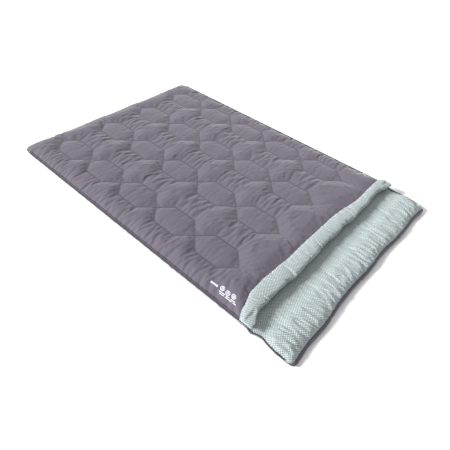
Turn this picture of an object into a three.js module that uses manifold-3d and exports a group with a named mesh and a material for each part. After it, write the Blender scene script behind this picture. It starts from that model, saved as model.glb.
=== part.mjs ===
// A double-width camp quilt: a padded base layer and a padded top layer, one over the other, joined at
// the foot and closed down both long sides by zips. The top's head end is turned back as a cuff.
// Millimetres. +X runs from the foot to the head, +Y from the near side to the far side, +Z is up, and
// the origin is the middle of the underside.
import * as THREE from "three";
import { mergeVertices } from "three/addons/utils/BufferGeometryUtils.js";
import Module from "manifold-3d";

const wasm = await Module();
wasm.setup();

// ---- driving sizes -----------------------------------------------------------------------------
const LENGTH = 2250; // foot piping to head edge
const WIDTH = 1500; // across both zips and their pulls
const BASE_THICK = 45; // base layer, loft at rest
const TOP_THICK = 42; // top layer, loft at rest
const SLEEP_GAP = 8; // space between the two layers
const TOP_REACH = 1972; // foot hinge line to the cuff's fold
const CUFF_WIDTH = 84; // how far the head end is turned back
const HEM_THICK = 20; // thin head hem of the top, which the cuff lies on
const CUFF_CLEAR = 4; // unfolded cuff to the base under it
const FOOT_RADIUS = 60; // plan radius of the foot corners
const HEAD_RADIUS = 34; // plan radius of the base's head corners
const CLOTH = 2; // shell and lining cloth, as modelled
const FILL_SLACK = 9; // room over the fibre batt, which is thinner than the crowned cells
const SEAM = 0.3; // gap between pieces that touch
const FOLD_GAP = 0.4; // between the cuff and the hem under it
const ARC_STEPS = 7; // segments in a quarter of a round corner

// ---- foot seam ---------------------------------------------------------------------------------
const PIPING_RADIUS = 3;
const PIPING_SIDES = 12;
const HINGE_CLEAR = 1; // each layer's foot face stands this far off the hinge line

// ---- zips --------------------------------------------------------------------------------------
const TAPE_THICK = 1;
const TAPE_WIDTH = 15; // part of the tape that shows on each layer
const COIL = 2.4; // side of a coil row's square section
const ROW_GAP = 2; // between the two rows of a closed zip
const STOP_LONG = 4;
const ZIP_HEAD_MARGIN = 40; // zip end to the base's head edge
const SLIDER_LONG = 24;
const PLATE = 1.5; // slider's inner and outer plates
const WEB = 1.2; // slider's web, between the two coil rows
const RUN_CLEAR = 0.4; // slider to coil and web to coil
const OUTER_PLATE_TALL = 12;
const SLIDER_BACK = 24; // slider's middle to the cuff's fold
const PIN_RADIUS = 0.8;
const PIN_CLEAR = 0.3;
const EYE_RADIUS = 2.2;
const EAR_TALL = 2;
const PULL_LONG = 34;
const PULL_TALL = 8;
const PULL_THICK = 1.6;
const EYE_TALL = 4.2;
const PIN_SIDES = 20;

// ---- small pieces ------------------------------------------------------------------------------
const TUBE_WIDTH = 34; // padded draught tube inside each zip
const TUBE_INSET = 5; // tube to the slider's inner plate
const LOOP_WIDTH = 22; // hanging loop, across
const LOOP_DROP = 34; // hanging loop, down
const LOOP_TAPE = 5; // width of its legs
const LOOP_THICK = 1.2;
const LOOP_IN = 300; // loop's middle to the long side of the quilt
const CARE_LABEL = [36, 60, 0.8];
const CARE_LABEL_FOOT = 27; // label's middle to the foot face
const CARE_LABEL_IN = 130; // label's middle to the near side face
const SIDE_LABEL = [24, 14, 0.8];
const SIDE_LABEL_BACK = 84; // label's middle to the cuff
const SIDE_LABEL_IN = 28; // label's middle to the far side face
const PRINT = [160, 42, 0.5];
const PRINT_BACK = 109; // print's middle to the cuff
const PRINT_IN = 46; // print's middle to the near side face

// ---- levels and lines that follow --------------------------------------------------------------
const HALF_WIDTH = WIDTH / 2;
const HEAD_X = LENGTH / 2;
const HINGE_X = -LENGTH / 2 + PIPING_RADIUS;
const FOOT_X = HINGE_X + HINGE_CLEAR;
const HINGE_Z = BASE_THICK + SLEEP_GAP / 2;
const TOP_LOW = BASE_THICK + SLEEP_GAP;
const TOP_HIGH = TOP_LOW + TOP_THICK;
const HEM_HIGH = TOP_LOW + HEM_THICK;
const FOLD_X = HINGE_X + TOP_REACH;
const CUFF_LOW = HEM_HIGH + FOLD_GAP;
const CUFF_THICK = HEM_HIGH - BASE_THICK - CUFF_CLEAR;
const CUFF_HIGH = CUFF_LOW + CUFF_THICK;
const CUFF_FOOT_X = FOLD_X - CUFF_WIDTH;
const STEP_X = CUFF_FOOT_X - HINGE_CLEAR; // where the top drops from full loft to its hem

const PIN_Y = HALF_WIDTH - EYE_RADIUS;
const OUTER_PLATE_Y = PIN_Y - EYE_RADIUS - SEAM; // outer face of the slider's outer plate
const COIL_OUT_Y = OUTER_PLATE_Y - PLATE - RUN_CLEAR;
const TAPE_OUT_Y = COIL_OUT_Y - COIL - SEAM;
const SIDE_Y = TAPE_OUT_Y - TAPE_THICK - SEAM; // side faces of both layers
const INNER_PLATE_Y = SIDE_Y - RUN_CLEAR; // outer face of the slider's inner plate
const LOWER_ROW_Z = HINGE_Z - ROW_GAP / 2;
const UPPER_ROW_Z = HINGE_Z + ROW_GAP / 2;
const ZIP_FOOT_X = FOOT_X + FOOT_RADIUS;
const ZIP_HEAD_X = HEAD_X - ZIP_HEAD_MARGIN;
const SLIDER_X = FOLD_X - SLIDER_BACK;

// ---- materials ---------------------------------------------------------------------------------
const cloth = (color, roughness) => new THREE.MeshStandardMaterial({ color, roughness, metalness: 0 });
const SHELL = cloth(0x8a8291, 0.85);
const LINING = cloth(0xafbebc, 0.9);
const FILLING = cloth(0xf2f1ec, 1);
const TAPE = cloth(0x4a4350, 0.8);
const COIL_NYLON = cloth(0x37323c, 0.5);
const LABEL = cloth(0xe9e9ea, 0.8);
const METAL = new THREE.MeshStandardMaterial({ color: 0x9a9ba2, roughness: 0.35, metalness: 1 });

// ---- making solids -----------------------------------------------------------------------------
function block(x0, x1, y0, y1, z0, z1) {
  const box = new THREE.BoxGeometry(x1 - x0, y1 - y0, z1 - z0);
  return box.translate((x0 + x1) / 2, (y0 + y1) / 2, (z0 + z1) / 2);
}

// A level plate with round corners: footR at the foot end, headR at the head end.
function plate(x0, x1, halfY, footR, headR, z0, z1) {
  const outline = new THREE.Shape();
  outline.moveTo(x0 + footR, -halfY);
  outline.lineTo(x1 - headR, -halfY);
  if (headR > 0) outline.absarc(x1 - headR, -halfY + headR, headR, -Math.PI / 2, 0, false);
  else outline.lineTo(x1, -halfY);
  outline.lineTo(x1, halfY - headR);
  if (headR > 0) outline.absarc(x1 - headR, halfY - headR, headR, 0, Math.PI / 2, false);
  outline.lineTo(x0 + footR, halfY);
  if (footR > 0) outline.absarc(x0 + footR, halfY - footR, footR, Math.PI / 2, Math.PI, false);
  else outline.lineTo(x0, halfY);
  outline.lineTo(x0, -halfY + footR);
  if (footR > 0) outline.absarc(x0 + footR, -halfY + footR, footR, Math.PI, 1.5 * Math.PI, false);
  const options = { depth: z1 - z0, bevelEnabled: false, curveSegments: ARC_STEPS };
  return new THREE.ExtrudeGeometry(outline, options).translate(0, 0, z0);
}

// A round bar or disc that stands along Z.
function upright(x, y, radius, z0, z1) {
  const bar = new THREE.CylinderGeometry(radius, radius, z1 - z0, PIN_SIDES);
  return bar.rotateX(Math.PI / 2).translate(x, y, (z0 + z1) / 2);
}

function toSolid(geometry) {
  const bare = geometry.clone();
  bare.deleteAttribute("normal");
  bare.deleteAttribute("uv");
  const merged = mergeVertices(bare, 1e-4);
  const vertProperties = new Float32Array(merged.attributes.position.array);
  const triVerts = new Uint32Array(merged.index.array);
  return new wasm.Manifold(new wasm.Mesh({ numProp: 3, vertProperties, triVerts }));
}

function toGeometry(solid) {
  const { vertProperties, triVerts } = solid.getMesh();
  const geometry = new THREE.BufferGeometry();
  geometry.setAttribute("position", new THREE.BufferAttribute(new Float32Array(vertProperties), 3));
  geometry.setIndex(new THREE.BufferAttribute(new Uint32Array(triVerts), 1));
  const flat = geometry.toNonIndexed();
  flat.computeVertexNormals();
  return flat;
}

const join = (...shapes) => shapes.map(toSolid).reduce((a, b) => a.add(b));
const cut = (body, ...tools) => tools.map(toSolid).reduce((a, b) => a.subtract(b), body);

const quilt = new THREE.Group();

function piece(name, geometry, material) {
  const mesh = new THREE.Mesh(geometry, material);
  mesh.name = name;
  quilt.add(mesh);
  return mesh;
}

// The near side is at -Y and the far side at +Y.
const SIDES = [
  ["near", -1],
  ["far", 1],
];

// A block beside a long side: y0 and y1 are distances out from the quilt's middle line.
function sideBlock(side, x0, x1, y0, y1, z0, z1) {
  return side > 0 ? block(x0, x1, y0, y1, z0, z1) : block(x0, x1, -y1, -y0, z0, z1);
}

// ---- base layer: a shell tray, its filling, and the lining over it --------------------------------
const INNER = CLOTH + SEAM; // what lies inside a shell is set in by this much
const innerR = (radius) => radius - INNER;

const baseTray = cut(
  toSolid(plate(FOOT_X, HEAD_X, SIDE_Y, FOOT_RADIUS, HEAD_RADIUS, 0, BASE_THICK)),
  plate(
    FOOT_X + CLOTH, HEAD_X - CLOTH, SIDE_Y - CLOTH,
    FOOT_RADIUS - CLOTH, HEAD_RADIUS - CLOTH, CLOTH, BASE_THICK + CLOTH,
  ),
);
piece("base_shell", toGeometry(baseTray), SHELL);

function baseFill(z0, z1) {
  const [x0, x1] = [FOOT_X + INNER, HEAD_X - INNER];
  return plate(x0, x1, SIDE_Y - INNER, innerR(FOOT_RADIUS), innerR(HEAD_RADIUS), z0, z1);
}
piece("base_filling", baseFill(INNER, BASE_THICK - INNER - FILL_SLACK), FILLING);
piece("base_lining", baseFill(BASE_THICK - CLOTH, BASE_THICK), LINING);

// ---- top layer: full loft as far as the cuff, then a thin hem that the cuff lies on --------------------
const topTray = cut(
  join(
    plate(FOOT_X, STEP_X, SIDE_Y, FOOT_RADIUS, 0, TOP_LOW, TOP_HIGH),
    block(STEP_X - CLOTH, FOLD_X, -SIDE_Y, SIDE_Y, TOP_LOW, HEM_HIGH),
  ),
  plate(
    FOOT_X + CLOTH, STEP_X - CLOTH, SIDE_Y - CLOTH,
    FOOT_RADIUS - CLOTH, 0, TOP_LOW - CLOTH, TOP_HIGH - CLOTH,
  ),
  block(
    STEP_X - 2 * CLOTH, FOLD_X - CLOTH, CLOTH - SIDE_Y, SIDE_Y - CLOTH,
    TOP_LOW - CLOTH, HEM_HIGH - CLOTH,
  ),
);
piece("top_shell", toGeometry(topTray), SHELL);

const topFilling = join(
  plate(
    FOOT_X + INNER, STEP_X - INNER, SIDE_Y - INNER,
    innerR(FOOT_RADIUS), 0, TOP_LOW + INNER, TOP_HIGH - INNER - FILL_SLACK,
  ),
  block(
    STEP_X - 2 * INNER, FOLD_X - INNER, INNER - SIDE_Y, SIDE_Y - INNER,
    TOP_LOW + INNER, HEM_HIGH - INNER - FILL_SLACK,
  ),
);
piece("top_filling", toGeometry(topFilling), FILLING);
piece(
  "top_lining",
  plate(
    FOOT_X + INNER, FOLD_X - INNER, SIDE_Y - INNER,
    innerR(FOOT_RADIUS), 0, TOP_LOW, TOP_LOW + CLOTH,
  ),
  LINING,
);

// ---- cuff: the turned-back head end, lining side up ------------------------------------------------
const CUFF_HEAD_X = FOLD_X - FOLD_GAP / 2;
const cuffTray = cut(
  toSolid(block(CUFF_FOOT_X, CUFF_HEAD_X, -SIDE_Y, SIDE_Y, CUFF_LOW, CUFF_HIGH)),
  block(
    CUFF_FOOT_X + CLOTH, CUFF_HEAD_X - CLOTH, CLOTH - SIDE_Y, SIDE_Y - CLOTH,
    CUFF_LOW - CLOTH, CUFF_HIGH - CLOTH,
  ),
);
piece("cuff_lining", toGeometry(cuffTray), LINING);

function cuffFill(z0, z1) {
  return block(CUFF_FOOT_X + INNER, CUFF_HEAD_X - INNER, INNER - SIDE_Y, SIDE_Y - INNER, z0, z1);
}
piece("cuff_filling", cuffFill(CUFF_LOW + INNER, CUFF_HIGH - INNER - FILL_SLACK), FILLING);
piece("cuff_shell", cuffFill(CUFF_LOW, CUFF_LOW + CLOTH), SHELL);

// ---- foot seam: the piping round the hinge line, and two hanging loops --------------------------------
const pipingLong = 2 * (SIDE_Y - FOOT_RADIUS);
const piping = new THREE.CylinderGeometry(PIPING_RADIUS, PIPING_RADIUS, pipingLong, PIPING_SIDES);
piece("foot_piping", piping.translate(HINGE_X, 0, HINGE_Z), TAPE);

// Each loop hangs flat down the foot face, inside the slot that HINGE_CLEAR leaves on both sides.
for (const [name, side] of SIDES) {
  const y = side * (HALF_WIDTH - LOOP_IN);
  const [x0, x1] = [HINGE_X - LOOP_THICK / 2, HINGE_X + LOOP_THICK / 2];
  const high = HINGE_Z - PIPING_RADIUS - SEAM;
  const loop = cut(
    toSolid(block(x0, x1, y - LOOP_WIDTH / 2, y + LOOP_WIDTH / 2, high - LOOP_DROP, high)),
    block(
      x0 - 1, x1 + 1, y - LOOP_WIDTH / 2 + LOOP_TAPE, y + LOOP_WIDTH / 2 - LOOP_TAPE,
      high - LOOP_DROP + LOOP_TAPE, high - LOOP_TAPE,
    ),
  );
  piece("hanging_loop_" + name, toGeometry(loop), TAPE);
}

// ---- zips: a tape and a coil row on each layer, with stops at their ends --------------------------------
const TAPE_IN_Y = SIDE_Y + SEAM;
const COIL_IN_Y = TAPE_OUT_Y + SEAM;
const coilFootX = ZIP_FOOT_X + STOP_LONG + SEAM;
const topCoilHeadX = FOLD_X - STOP_LONG - SEAM;
const baseCoilHeadX = ZIP_HEAD_X - STOP_LONG - SEAM;

for (const [name, side] of SIDES) {
  const tape = (x0, x1, z0, z1) => sideBlock(side, x0, x1, TAPE_IN_Y, TAPE_OUT_Y, z0, z1);
  const coil = (x0, x1, z0, z1) => sideBlock(side, x0, x1, COIL_IN_Y, COIL_OUT_Y, z0, z1);

  const baseTape = tape(ZIP_FOOT_X, ZIP_HEAD_X, LOWER_ROW_Z - TAPE_WIDTH, LOWER_ROW_Z);
  piece("base_tape_" + name, baseTape, TAPE);
  const topTape = tape(ZIP_FOOT_X, FOLD_X, UPPER_ROW_Z, UPPER_ROW_Z + TAPE_WIDTH);
  piece("top_tape_" + name, topTape, TAPE);
  const cuffTape = tape(CUFF_FOOT_X, CUFF_HEAD_X, CUFF_LOW + CLOTH, CUFF_LOW + CLOTH + TAPE_WIDTH);
  piece("cuff_tape_" + name, cuffTape, TAPE);

  const baseCoil = coil(coilFootX, baseCoilHeadX, LOWER_ROW_Z - COIL, LOWER_ROW_Z);
  piece("base_coil_" + name, baseCoil, COIL_NYLON);
  const topCoil = coil(coilFootX, topCoilHeadX, UPPER_ROW_Z, UPPER_ROW_Z + COIL);
  piece("top_coil_" + name, topCoil, COIL_NYLON);

  const footStop = coil(ZIP_FOOT_X, ZIP_FOOT_X + STOP_LONG, LOWER_ROW_Z - COIL, LOWER_ROW_Z);
  piece("foot_stop_" + name, footStop, METAL);
  const topStop = coil(FOLD_X - STOP_LONG, FOLD_X, UPPER_ROW_Z, UPPER_ROW_Z + COIL);
  piece("top_stop_" + name, topStop, METAL);
  const headStop = coil(ZIP_HEAD_X - STOP_LONG, ZIP_HEAD_X, LOWER_ROW_Z - COIL, LOWER_ROW_Z);
  piece("head_stop_" + name, headStop, METAL);
}

// ---- draught tubes: a flat padded tube along the inside of each zip, sewn to the base ----------------
const TUBE_OUT_Y = INNER_PLATE_Y - PLATE - TUBE_INSET;
for (const [name, side] of SIDES) {
  const tube = sideBlock(
    side, ZIP_FOOT_X, FOLD_X, TUBE_OUT_Y - TUBE_WIDTH, TUBE_OUT_Y,
    BASE_THICK + SEAM, TOP_LOW - SEAM,
  );
  piece("draught_tube_" + name, tube, LINING);
}

// ---- sliders: an inner and an outer plate joined by a web that runs between the coil rows ------------
// The channels are open towards each layer, so the top's row lifts straight out when the top is opened.
const EAR_GAP = EYE_TALL + 2 * PIN_CLEAR;
for (const [name, side] of SIDES) {
  const [x0, x1] = [SLIDER_X - SLIDER_LONG / 2, SLIDER_X + SLIDER_LONG / 2];
  const innerTall = SLEEP_GAP - 2 * RUN_CLEAR;
  const parts = [
    sideBlock(
      side, x0, x1, INNER_PLATE_Y - PLATE, INNER_PLATE_Y,
      HINGE_Z - innerTall / 2, HINGE_Z + innerTall / 2,
    ),
    sideBlock(
      side, x0, x1, OUTER_PLATE_Y - PLATE, OUTER_PLATE_Y,
      HINGE_Z - OUTER_PLATE_TALL / 2, HINGE_Z + OUTER_PLATE_TALL / 2,
    ),
    sideBlock(
      side, x0, x1, INNER_PLATE_Y - PLATE / 2, OUTER_PLATE_Y - PLATE / 2,
      HINGE_Z - WEB / 2, HINGE_Z + WEB / 2,
    ),
    upright(SLIDER_X, side * PIN_Y, PIN_RADIUS, HINGE_Z - EAR_GAP, HINGE_Z + EAR_GAP),
  ];
  for (const up of [-1, 1]) {
    const near = HINGE_Z + (up * EAR_GAP) / 2;
    const [z0, z1] = [Math.min(near, near + up * EAR_TALL), Math.max(near, near + up * EAR_TALL)];
    parts.push(upright(SLIDER_X, side * PIN_Y, EYE_RADIUS, z0, z1));
    parts.push(
      sideBlock(
        side, SLIDER_X - EYE_RADIUS, SLIDER_X + EYE_RADIUS,
        OUTER_PLATE_Y - PLATE / 2, PIN_Y, z0, z1,
      ),
    );
  }
  const pinEnds = [-1, 1].map((up) => {
    const end = HINGE_Z + up * (EAR_GAP / 2 + EAR_TALL);
    const [z0, z1] = [Math.min(end, end + up * EAR_GAP), Math.max(end, end + up * EAR_GAP)];
    return block(
      SLIDER_X - EYE_RADIUS, SLIDER_X + EYE_RADIUS,
      side * PIN_Y - EYE_RADIUS, side * PIN_Y + EYE_RADIUS, z0, z1,
    );
  });
  piece("zip_slider_" + name, toGeometry(cut(join(...parts), ...pinEnds)), METAL);

  // The pull lies back along the zip, towards the foot, with its eye round the slider's pin.
  const armX = SLIDER_X - EYE_RADIUS - PIN_CLEAR - PULL_THICK / 2;
  const pull = cut(
    join(
      upright(SLIDER_X, side * PIN_Y, EYE_RADIUS, HINGE_Z - EYE_TALL / 2, HINGE_Z + EYE_TALL / 2),
      block(
        armX - 1, SLIDER_X - EYE_RADIUS / 2,
        side * PIN_Y - PULL_THICK / 2, side * PIN_Y + PULL_THICK / 2,
        HINGE_Z - EYE_TALL / 2, HINGE_Z + EYE_TALL / 2,
      ),
      block(
        SLIDER_X - PULL_LONG, armX,
        side * PIN_Y - PULL_THICK / 2, side * PIN_Y + PULL_THICK / 2,
        HINGE_Z - PULL_TALL / 2, HINGE_Z + PULL_TALL / 2,
      ),
    ),
    upright(SLIDER_X, side * PIN_Y, PIN_RADIUS + PIN_CLEAR, HINGE_Z - EYE_TALL, HINGE_Z + EYE_TALL),
  );
  piece("zip_pull_" + name, toGeometry(pull), METAL);
}

// ---- labels and print --------------------------------------------------------------------------
function flatPatch(x, y, z, [long, wide, thick]) {
  return block(x - long / 2, x + long / 2, y - wide / 2, y + wide / 2, z, z + thick);
}
const careX = FOOT_X + CARE_LABEL_FOOT;
const careY = CARE_LABEL_IN - SIDE_Y;
piece("care_label", flatPatch(careX, careY, BASE_THICK + SEAM, CARE_LABEL), LABEL);

const printX = CUFF_FOOT_X - PRINT_BACK;
piece("shell_print", flatPatch(printX, PRINT_IN - SIDE_Y, TOP_HIGH + SEAM, PRINT), LABEL);
const labelX = CUFF_FOOT_X - SIDE_LABEL_BACK;
piece("side_label", flatPatch(labelX, SIDE_Y - SIDE_LABEL_IN, TOP_HIGH + SEAM, SIDE_LABEL), LABEL);

export default quilt;
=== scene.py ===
import math

import bmesh
import bpy
import mathutils
import numpy as np
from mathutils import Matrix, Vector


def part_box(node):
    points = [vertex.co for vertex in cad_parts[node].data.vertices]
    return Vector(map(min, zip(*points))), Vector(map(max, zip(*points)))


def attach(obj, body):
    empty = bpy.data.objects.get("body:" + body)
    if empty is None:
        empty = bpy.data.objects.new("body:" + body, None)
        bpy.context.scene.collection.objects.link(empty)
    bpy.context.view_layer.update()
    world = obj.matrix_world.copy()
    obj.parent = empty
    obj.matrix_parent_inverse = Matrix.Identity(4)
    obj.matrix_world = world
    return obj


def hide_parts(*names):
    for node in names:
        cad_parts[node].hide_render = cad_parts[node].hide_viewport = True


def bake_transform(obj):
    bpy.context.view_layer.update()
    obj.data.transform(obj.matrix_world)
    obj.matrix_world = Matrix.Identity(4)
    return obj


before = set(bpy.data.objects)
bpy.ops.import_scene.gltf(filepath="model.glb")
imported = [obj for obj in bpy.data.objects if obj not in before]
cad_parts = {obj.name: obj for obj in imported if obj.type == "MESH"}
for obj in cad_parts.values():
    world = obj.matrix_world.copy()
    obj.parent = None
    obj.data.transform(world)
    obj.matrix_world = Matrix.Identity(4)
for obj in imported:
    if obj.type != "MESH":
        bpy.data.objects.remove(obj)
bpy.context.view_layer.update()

# ---- places read from the frame ----------------------------------------------------------------------
base_low, base_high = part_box("base_shell")
top_low, top_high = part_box("top_shell")
cuff_low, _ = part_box("cuff_lining")
base_tape_low, base_tape_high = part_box("base_tape_far")
top_tape_low, top_tape_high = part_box("top_tape_far")
base_coil_low, base_coil_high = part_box("base_coil_far")
top_coil_low, top_coil_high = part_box("top_coil_far")
piping_low, piping_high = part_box("foot_piping")

FOOT_X = base_low.x
HEAD_X = base_high.x
BASE_TOP = base_high.z
TOP_LOW = top_low.z
FOLD_X = top_high.x
FOLD_Z = cuff_low.z - 0.0002  # height of the cuff's hinge
CUFF_X = cuff_low.x
CUFF_LOW = cuff_low.z
TAPE_Y = (base_tape_low.y + base_tape_high.y) / 2
HEM_Y = base_tape_high.y + 0.0008  # cloth edges sewn over the tapes
TAPE_TOP = base_tape_high.z
ZIP_FOOT_X = base_tape_low.x
ZIP_HEAD_X = base_tape_high.x

# ---- quilting: four rows of five hexagons; each row is two stitch lines that meet between hexagons ------
CELL = 0.006  # cloth grid
HEX_PITCH = 0.324
HEX_FLAT = 0.156  # length of a hexagon's flat side, along the quilt
HEX_TALL = 0.168  # between its flat sides
HEX_ROWS = 4
HEX_COUNT = 5
ROW_PITCH = 0.348
FIRST_X = -1.0  # first corner of the first hexagon
BORDER_X = FIRST_X + 294 * CELL  # where the top's open cloth ends, before its edge is bent to the cuff

# ---- lofts, hems and rounded edges -------------------------------------------------------------------
TOP_HEM_Z = 0.0570
BASE_HEM_Z = 0.0405
LINE_LOFT = 0.022  # stitch lines above the top's hem
SIDE_FLAT = 107 * CELL  # the cloth starts to round down to the hem here
FOOT_ROUND = 7 * CELL
HEM_UNDER_CUFF = CUFF_LOW - 0.0005  # top shell where the cuff lies on it
FOOT_CORNER = 0.034
HEAD_CORNER = 0.024
LINING_INSET = 0.002  # how far inside the shell's edges the linings are sewn
LINING_GROOVE = 0.014  # width of the dimples that the stitching makes in them
FAR_AWAY = 9.0  # past every piece
CUFF_CREST = 0.1005
QUILT_TOP = 0.1055  # nothing of the top shell stands higher
CUFF_END_Z = 0.0790
CUFF_MIDDLE_Z = 0.0775
FOLD_LOW = 0.0545  # underside of the top at the fold
BEND_START_Z = FOLD_LOW + 0.001  # the fold's cloth bends between these two heights as the cuff turns
BEND_END_Z = CUFF_MIDDLE_Z - 0.001
CUFF_TURN = math.radians(178)  # the cuff's full turn
ROLL_FROM, ROLL_TO = 163, -72  # degrees round the roll's section, from its sewn edge to its underside


# ---- numbers over a surface --------------------------------------------------------------------------
def ramp(x, start, end):
    """0 before start, 1 after end, and 3t^2 - 2t^3 between them, where t is the share of the way."""
    t = np.clip((x - start) / (end - start), 0.0, 1.0)
    return t * t * (3 - 2 * t)


def bump(x, middle, width):
    """A smooth hill, 1 at the middle: e to the power of minus the squared distance in widths."""
    return np.exp(-(((x - middle) / width) ** 2))


def blunt(value, power):
    """The size of the value raised to a power, with the value's sign: below 1 it squares off a circle."""
    return np.sign(value) * np.abs(value) ** power


def ripple(x, y, wavelength, seed, stretch_x=1.0, stretch_y=1.0, lean=0.0):
    """Smooth unevenness from about -1 to 1: the sum of twelve sine waves of about that wavelength in all
    directions, with phases drawn from the seed. It is drawn out along x and y by the two stretches, after
    it is turned by the lean, in radians."""
    draw = np.random.default_rng(seed)
    turned_x = (x * math.cos(lean) + y * math.sin(lean)) / stretch_x
    turned_y = (y * math.cos(lean) - x * math.sin(lean)) / stretch_y
    total = np.zeros(np.broadcast(x, y).shape)
    for _ in range(12):
        angle = draw.uniform(0, math.pi)
        length = wavelength * draw.uniform(0.7, 1.5)
        across = turned_x * math.cos(angle) + turned_y * math.sin(angle)
        total += np.sin(2 * math.pi * across / length + draw.uniform(0, 2 * math.pi))
    return total / 4.0


def creases(x, y, count, seed, low, high, length, width, lean, spread=0.3):
    """Short soft folds at random places between the corners low and high, each from 0 to 1 high. A fold is
    a rounded ridge, e to the power of minus the squared distance from its line in widths, with a sharper
    hollow beside it, and it fades towards both its ends. The lean, give or take the spread, is the angle
    of its line from the x direction, in radians."""
    draw = np.random.default_rng(seed)
    total = np.zeros(np.broadcast(x, y).shape)
    for _ in range(count):
        middle_x, middle_y = draw.uniform(low[0], high[0]), draw.uniform(low[1], high[1])
        angle = lean + draw.uniform(-spread, spread)
        half = length * draw.uniform(0.5, 1.3) / 2
        wide = width * draw.uniform(0.6, 1.4)
        height = draw.uniform(0.35, 1.0)
        bend = draw.uniform(-0.6, 0.6) / half
        along = (x - middle_x) * math.cos(angle) + (y - middle_y) * math.sin(angle)
        off = (y - middle_y) * math.cos(angle) - (x - middle_x) * math.sin(angle) + bend * along * along * 0.4
        ends = np.clip(1 - (along / half) ** 2, 0, 1)
        ridge = bump(off, 0.0, wide) - 0.4 * bump(off, -1.4 * wide, 0.8 * wide)
        total += height * ends * ridge
    return total


def evened(values, reach):
    """The values with their small changes along the second direction taken out: the mean of the reach
    points on both sides of each, where the rows' ends are repeated."""
    wide = np.pad(values, ((0, 0), (reach + 1, reach)), mode="edge")
    run = np.cumsum(wide, axis=1)
    return (run[:, 2 * reach + 1:] - run[:, :-2 * reach - 1]) / (2 * reach + 1)


def stitch_lines():
    """The stitch lines as a list of paths. Each is a trapezoid wave along a row: up the slope, along the
    flat and down again. The second line of a row is the first one mirrored."""
    slope = (HEX_PITCH - HEX_FLAT) / 2
    paths = []
    for row in range(HEX_ROWS):
        middle = (row - (HEX_ROWS - 1) / 2) * ROW_PITCH
        for first in (1, -1):
            path = []
            for cell in range(HEX_COUNT):
                x = FIRST_X + cell * HEX_PITCH
                side = middle + first * (1 if cell % 2 == 0 else -1) * HEX_TALL / 2
                path += [(x, middle), (x + slope, side), (x + slope + HEX_FLAT, side)]
            path.append((FIRST_X + HEX_COUNT * HEX_PITCH, middle))
            paths.append(np.array(path))
    return paths


def stitch_distance(x, y):
    """Distance from each point to the nearest stitch line: the least over all its straight runs."""
    nearest = np.full(np.broadcast(x, y).shape, FAR_AWAY)
    for path in stitch_lines():
        for (ax, ay), (bx, by) in zip(path[:-1], path[1:]):
            dx, dy = bx - ax, by - ay
            t = np.clip(((x - ax) * dx + (y - ay) * dy) / (dx * dx + dy * dy), 0, 1)
            nearest = np.minimum(nearest, np.hypot(x - ax - t * dx, y - ay - t * dy))
    return nearest


def inside_hexagon(x, y):
    """1 inside a stitched hexagon and 0 outside: within half its height of the row's middle, and within
    its slopes, which come in as fast as the point leaves the row's middle."""
    row = np.clip(np.round(y / ROW_PITCH + (HEX_ROWS - 1) / 2), 0, HEX_ROWS - 1)
    off = np.abs(y - (row - (HEX_ROWS - 1) / 2) * ROW_PITCH)
    cell = np.clip(np.floor((x - FIRST_X) / HEX_PITCH), 0, HEX_COUNT - 1)
    along = np.abs(x - FIRST_X - (cell + 0.5) * HEX_PITCH)
    return ((off < HEX_TALL / 2) & (along < HEX_PITCH / 2 - off)).astype(float)


def edge_run(low, high, low_round, high_round, step, rise):
    """Cloth points across a pillow, in one direction. Between the rounded edges they are a step apart.
    Over an edge of width w they follow a quarter ellipse with axes w and rise. Returns the places and
    the share of full height, which falls from 1 to 0 over each rounded edge."""
    count = round((high - high_round - low - low_round) / step)
    place = np.linspace(low + low_round, high - high_round, count + 1)
    share = np.ones(len(place))
    for width, before in ((low_round, True), (high_round, False)):
        if width <= 0:
            continue
        turns = max(3, round(math.pi / 2 * math.hypot(width, rise) / math.sqrt(2) / step))
        angle = np.linspace(0, math.pi / 2, turns + 1)[1:]
        if before:
            edge = low + width - width * np.sin(angle)
            place = np.concatenate([edge[::-1], place])
            share = np.concatenate([np.cos(angle)[::-1], share])
        else:
            edge = high - width + width * np.sin(angle)
            place = np.concatenate([place, edge])
            share = np.concatenate([share, np.cos(angle)])
    return place, share


def round_corners(x, y, low, high, half_y, foot_radius, head_radius):
    """Pulls a rectangle's corners in to quarter circles. In each corner square, with p and q the shares
    of the radius past its inner corner, p becomes p sqrt(1 - q^2/2) and q becomes q sqrt(1 - p^2/2)."""
    x, y = x.copy(), y.copy()
    for end, sign, radius in ((low, -1, foot_radius), (high, 1, head_radius)):
        if radius <= 0:
            continue
        for side in (-1, 1):
            p = np.clip((x * sign - end * sign + radius) / radius, 0, 1)
            q = np.clip((y * side - half_y + radius) / radius, 0, 1)
            corner = (p > 0) & (q > 0)
            bent_x = sign * (end * sign - radius + radius * p * np.sqrt(1 - q * q / 2))
            bent_y = side * (half_y - radius + radius * q * np.sqrt(1 - p * p / 2))
            x = np.where(corner, bent_x, x)
            y = np.where(corner, bent_y, y)
    return x, y


# ---- the cuff's two long edges, as places along x for each y ------------------------------------------
def cuff_border(y):
    """Where the cuff's sewn edge lies on the shell: straight, and swinging to the head at both ends."""
    ends = 0.038 * ramp(-y, 0.58, 0.745) + 0.030 * ramp(y, 0.12, 0.46)
    corners = 0.020 * ramp(np.abs(y), 0.68, 0.75) ** 2
    return CUFF_X - 0.002 + ends + corners - 0.005 * bump(y, -0.5, 0.15) + 0.0015 * np.sin(17 * y + 0.5)


def cuff_front(y):
    """Where the fold stands out furthest at the hinge's height: nearly straight, with two slight waists."""
    waists = 0.002 * bump(y, -0.61, 0.07) + 0.004 * bump(y, 0.53, 0.08)
    return FOLD_X + 0.0125 - waists + 0.002 * np.sin(11 * y + 4.4) + 0.001 * np.sin(31 * y)


def cuff_flare(y):
    """How much further the roll's upper half stands out at each end, where it hangs over."""
    return 0.030 * ramp(-y, 0.64, 0.745) + 0.024 * ramp(y, 0.56, 0.74)


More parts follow.
